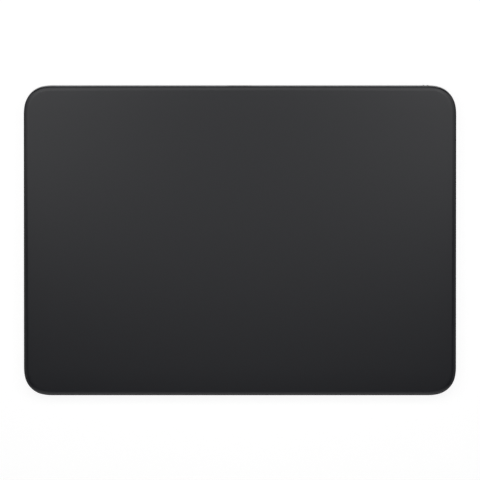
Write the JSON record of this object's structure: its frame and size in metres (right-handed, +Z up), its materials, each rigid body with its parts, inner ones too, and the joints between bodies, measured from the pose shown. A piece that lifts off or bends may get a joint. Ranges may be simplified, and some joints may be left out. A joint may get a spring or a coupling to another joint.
{
  "type": "trackpad",
  "caption": "Slim wireless trackpad: black glass touch plate on a wedge-shaped metal housing, with charging port, power switch and haptic plate inside.",
  "frame": {"origin": "on the desk plane under the feet, at the middle of the footprint", "axes": "+X to the right, +Y towards the rear edge with the port and switch, +Z up"},
  "size_m": [0.16, 0.1149, 0.0109],
  "materials": {
    "housing_metal": "satin blasted and anodised, natural silver",
    "black_glass": "fine matt black glass with a polished edge",
    "foot_rubber": "matt grey rubber",
    "clear_tape": "black adhesive film",
    "board": "satin solder mask over fibre board",
    "chip_plastic": "matt moulded epoxy",
    "spring_steel": "rolled stainless steel",
    "plated_steel": "bright nickel plated steel",
    "port_plastic": "black moulded plastic",
    "contact_gold": "gold plated",
    "copper_wire": "enamelled copper wire",
    "knob_plastic": "satin moulded plastic, silver grey",
    "indicator_green": "green film",
    "cell_foil": "black wrapped foil pouch",
    "flex_film": "amber polyimide film",
    "gel_rubber": "translucent damping gel"
  },
  "bodies": {
    "base": {"enclosure": "housing_metal", "bottom_cover": "housing_metal", "cover_adhesive": "clear_tape", "foot_front_left": "foot_rubber", "foot_front_right": "foot_rubber", "foot_rear_left": "foot_rubber", "foot_rear_right": "foot_rubber", "force_flexure_1": "spring_steel", "force_flexure_2": "spring_steel", "force_flexure_3": "spring_steel", "force_flexure_4": "spring_steel", "strain_gauges": "flex_film", "haptic_bracket": "plated_steel", "haptic_core": "spring_steel", "haptic_coils": "copper_wire", "main_board": "board", "board_chips": "chip_plastic", "board_connectors": "port_plastic", "shield_can": "plated_steel", "usb_port_shell": "plated_steel", "usb_port_tongue": "port_plastic", "usb_port_contacts": "contact_gold", "port_bracket": "plated_steel", "switch_housing": "port_plastic", "battery": "cell_foil", "battery_adhesive": "clear_tape", "battery_board": "board", "battery_cable": "flex_film", "antenna": "port_plastic", "antenna_trace": "copper_wire", "antenna_cable": "port_plastic", "touch_flex": "flex_film"},
    "load_carrier": {"load_tabs": "spring_steel"},
    "touch_plate": {"touch_glass": "black_glass", "glass_adhesive": "clear_tape", "sensor_board": "board", "sensor_chips": "chip_plastic", "stiffener_plate": "spring_steel", "haptic_armature": "plated_steel", "gel_pads": "gel_rubber"},
    "switch": {"switch_knob": "knob_plastic", "switch_indicator": "indicator_green", "switch_lever": "port_plastic"}
  },
  "joints": [
    {"name": "glass_press", "type": "slide", "parent": "base", "child": "load_carrier", "axis": [0, 0.0523, -0.9986], "range_m": [0, 0.00015], "stiffness_N_per_m": 12000, "springref_m": -0.00012, "deforming": ["force_flexure_1", "force_flexure_2", "force_flexure_3", "force_flexure_4", "touch_flex"]},
    {"name": "haptic_shift", "type": "slide", "parent": "load_carrier", "child": "touch_plate", "axis": [1, 0, 0], "range_m": [-0.00015, 0.00015], "stiffness_N_per_m": 20000, "deforming": ["gel_pads"]},
    {"name": "switch_slide", "type": "slide", "parent": "base", "child": "switch", "axis": [1, 0, 0], "range_m": [-0.0016, 0]}
  ]
}
